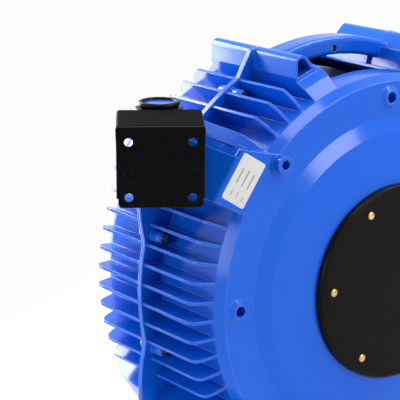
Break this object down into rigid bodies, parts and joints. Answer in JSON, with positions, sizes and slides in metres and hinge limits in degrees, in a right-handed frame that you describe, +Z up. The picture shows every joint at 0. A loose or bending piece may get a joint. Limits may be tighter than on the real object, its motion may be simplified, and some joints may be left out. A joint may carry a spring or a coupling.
{
  "type": "extension cord reel",
  "caption": "Swivelling wall-mounted spring-rewind extension cord reel: ribbed round two-half case on a steel bracket, drum with ratchet and slip rings, roller cable mouth and carry handle.",
  "frame": {"origin": "centre of the wall plate's four-hole bolt pattern, on the face that meets the wall", "axes": "+Y into the wall, +Z up, +X along the wall; the case hangs towards -Y and is stored swung 56 degrees about the vertical pivot"},
  "size_m": [0.4778, 0.4183, 0.4771],
  "materials": {
    "bracket_black": "fine textured black powder coat",
    "bush_nylon": "plain nylon",
    "case_blue": "semi-gloss moulded plastic",
    "brass": "yellow passivated",
    "black_plastic": "satin moulded plastic",
    "zinc_steel": "bright zinc plate",
    "label_white": "blank satin film",
    "drum_grey": "smooth grey",
    "dark_steel": "oiled steel",
    "spring_steel": "blued strip",
    "phenolic": "moulded phenolic",
    "carbon": "pressed carbon",
    "terminal_ivory": "moulded plastic",
    "roller_grey": "turned acetal"
  },
  "bodies": {
    "bracket": {"wall_bracket": "bracket_black", "bracket_webs": "bracket_black", "pivot_tube": "bracket_black", "swivel_bush_top": "bush_nylon", "swivel_bush_bottom": "bush_nylon"},
    "case": {"case_left": "case_blue", "case_right": "case_blue", "case_screws": "brass", "pivot_post": "case_blue", "swivel_collar": "black_plastic", "collar_pin": "zinc_steel", "rating_plate": "label_white", "hub_cover_left": "black_plastic", "hub_cover_right": "black_plastic", "cover_screws": "brass", "axle": "zinc_steel", "axle_washers": "zinc_steel", "axle_nuts": "zinc_steel", "spring_arbor": "dark_steel", "pawl_pin": "zinc_steel", "pawl_spring": "spring_steel", "brush_holder": "phenolic", "brushes": "carbon", "terminal_block": "terminal_ivory", "inlet_gland": "black_plastic", "gland_nut": "black_plastic", "mouth_frame": "black_plastic", "mouth_screws": "zinc_steel", "roller_pins": "zinc_steel"},
    "drum": {"drum_core": "drum_grey", "drum_flange_left": "drum_grey", "drum_flange_right": "drum_grey", "drum_bushes": "bush_nylon", "drum_bolts": "zinc_steel", "drum_nuts": "zinc_steel", "cord_clamp": "drum_grey", "clamp_screws": "zinc_steel", "spring_housing": "dark_steel", "spring_lid": "dark_steel", "mainspring": "spring_steel", "ratchet_wheel": "dark_steel", "slip_ring_hub": "phenolic", "slip_rings": "brass"},
    "pawl": {"pawl": "dark_steel"},
    "top_roller": {"roller_top": "roller_grey"},
    "bottom_roller": {"roller_bottom": "roller_grey"},
    "left_roller": {"roller_left": "roller_grey"},
    "right_roller": {"roller_right": "roller_grey"}
  },
  "joints": [
    {"name": "case_swing", "type": "hinge", "parent": "bracket", "child": "case", "pos_m": [0, -0.1, 0.02], "axis": [0, 0, 1], "range_deg": [-9, 121]},
    {"name": "drum_spin", "type": "hinge", "parent": "case", "child": "drum", "pos_m": [-0.17576, -0.21855, -0.1481], "axis": [-0.5592, 0.829, 0], "range_deg": [0, 4590]},
    {"name": "pawl_swing", "type": "hinge", "parent": "case", "child": "pawl", "pos_m": [-0.18119, -0.29097, -0.0861], "axis": [-0.5592, 0.829, 0], "range_deg": [0, 12], "stiffness_Nm_per_rad": 0.05},
    {"name": "top_roller_spin", "type": "hinge", "parent": "case", "child": "top_roller", "pos_m": [-0.3534, -0.33837, -0.22926], "axis": [0.5592, -0.829, 0], "continuous": true},
    {"name": "bottom_roller_spin", "type": "hinge", "parent": "case", "child": "bottom_roller", "pos_m": [-0.34149, -0.33033, -0.26008], "axis": [0.5592, -0.829, 0], "continuous": true},
    {"name": "left_roller_spin", "type": "hinge", "parent": "case", "child": "left_roller", "pos_m": [-0.36877, -0.32461, -0.25037], "axis": [0.3504, 0.2363, -0.9063], "continuous": true},
    {"name": "right_roller_spin", "type": "hinge", "parent": "case", "child": "right_roller", "pos_m": [-0.3464, -0.35778, -0.25037], "axis": [0.3504, 0.2363, -0.9063], "continuous": true}
  ]
}
